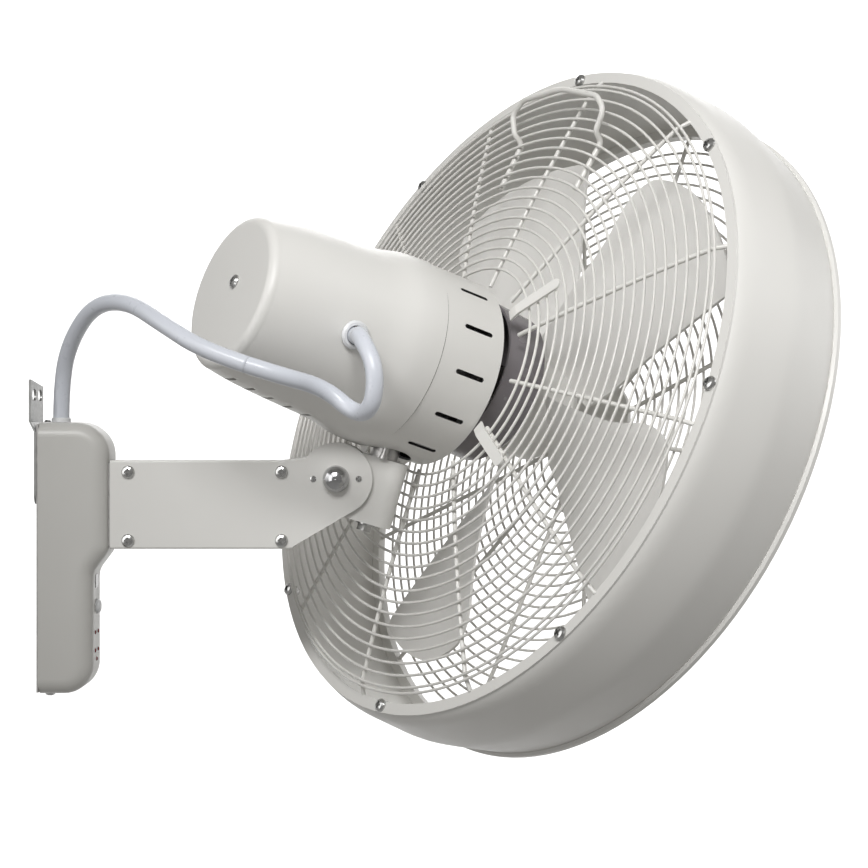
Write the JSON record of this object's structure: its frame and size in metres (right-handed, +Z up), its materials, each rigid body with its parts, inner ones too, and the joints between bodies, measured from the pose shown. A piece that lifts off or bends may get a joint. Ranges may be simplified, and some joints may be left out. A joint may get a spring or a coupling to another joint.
{
  "type": "wall mounted fan",
  "caption": "Wall fan on a folded steel arm with a control box: caged motor head with a drum shroud that tilts, swings from side to side and spins its blades.",
  "frame": {"origin": "midway between the two wall slots, on the wall's face", "axes": "+Z up, +Y into the wall, the fan stands out along -Y; +X is to the right of someone who faces the wall"},
  "size_m": [0.4468, 0.5223, 0.473],
  "materials": {
    "bare_steel": "satin",
    "blade_plastic": "satin",
    "board_green": "matte",
    "bright_chrome": "polished",
    "cable_sheath": "matte",
    "cast_aluminium": "matte",
    "copper": "varnished",
    "core_steel": "matte",
    "dark_paint": "satin",
    "dark_window": "gloss",
    "off_white_paint": "satin",
    "red_lens": "gloss",
    "white_plastic": "gloss",
    "zinc_screws": "satin"
  },
  "bodies": {
    "wall_fixture": {"wall_bracket": "off_white_paint", "box_cover": "off_white_paint", "back_plate": "bare_steel", "back_plate_fixings": "zinc_screws", "arm_core": "bare_steel", "arm_plate_near": "off_white_paint", "arm_plate_far": "off_white_paint", "arm_plate_screws": "zinc_screws", "ear_set_screws": "zinc_screws", "pivot_bolt": "bare_steel", "pivot_washers": "bare_steel", "cap_nuts": "bright_chrome", "cable_collar": "white_plastic", "box_screws": "zinc_screws", "receiver_window": "dark_window", "lamp_lenses": "red_lens", "circuit_board": "board_green", "board_components": "dark_window", "run_capacitor": "white_plastic", "terminal_block": "white_plastic", "cable_lower": "cable_sheath"},
    "button": {"push_button": "white_plastic"},
    "tilt_body": {"tilt_bracket": "off_white_paint", "bracket_spacer": "bare_steel", "swivel_post": "bare_steel", "post_screw": "zinc_screws", "thrust_washer": "bare_steel", "post_clip": "bare_steel", "swing_pin": "bare_steel", "cable_upper": "cable_sheath"},
    "link": {"swing_link": "bare_steel"},
    "crank": {"swing_crank": "bare_steel"},
    "fan_head": {"neck": "bare_steel", "swing_motor": "cast_aluminium", "motor_frame": "cast_aluminium", "motor_screws": "zinc_screws", "rear_cover": "off_white_paint", "front_band": "off_white_paint", "cable_grommet": "white_plastic", "stator_core": "core_steel", "stator_coils": "copper", "end_shields": "cast_aluminium", "front_bell": "dark_paint", "front_plate": "off_white_paint", "bearings": "copper", "rear_guard_rods": "off_white_paint", "rear_guard_rings": "off_white_paint", "guard_straps": "off_white_paint", "guard_handle": "off_white_paint", "rear_ring": "off_white_paint", "ring_screws": "zinc_screws", "drum": "off_white_paint", "front_ring": "off_white_paint", "front_guard_rods": "off_white_paint", "front_guard_rings": "off_white_paint", "guard_badge": "off_white_paint"},
    "rotor": {"motor_shaft": "bare_steel", "motor_rotor": "core_steel", "propeller": "blade_plastic", "hub_nut": "zinc_screws"}
  },
  "joints": [
    {"name": "tilt", "type": "hinge", "parent": "wall_fixture", "child": "tilt_body", "pos_m": [0, -0.2015, -0.0555], "axis": [1, 0, 0], "range_deg": [-16, 29], "deforming": ["cable_lower"]},
    {"name": "swing", "type": "hinge", "parent": "tilt_body", "child": "fan_head", "pos_m": [0, -0.22678, -0.06275], "axis": [0, -0.2756, 0.9613], "range_deg": [-77.5, 12.5], "deforming": ["cable_upper"]},
    {"name": "blade_spin", "type": "hinge", "parent": "fan_head", "child": "rotor", "pos_m": [0.03633, -0.3015, 0.00779], "axis": [0.5329, -0.7691, -0.3527], "continuous": true},
    {"name": "link_turn", "type": "hinge", "parent": "tilt_body", "child": "link", "pos_m": [-0.0145, -0.22678, -0.06275], "axis": [0, -0.2756, 0.9613], "range_deg": [-77.5, 12.5]},
    {"name": "crank_turn", "type": "hinge", "parent": "fan_head", "child": "crank", "pos_m": [-0.04377, -0.18292, -0.05017], "axis": [0, -0.2756, 0.9613], "range_deg": [-155, 25]},
    {"name": "button_press", "type": "slide", "parent": "wall_fixture", "child": "button", "axis": [0, 1, 0], "range_m": [0, 0.0015], "stiffness_N_per_m": 700, "springref_m": -0.001}
  ],
  "couplings": [
    {"joint": "link_turn", "follows": "swing", "ratio": 1},
    {"joint": "crank_turn", "follows": "swing", "ratio": 2}
  ]
}
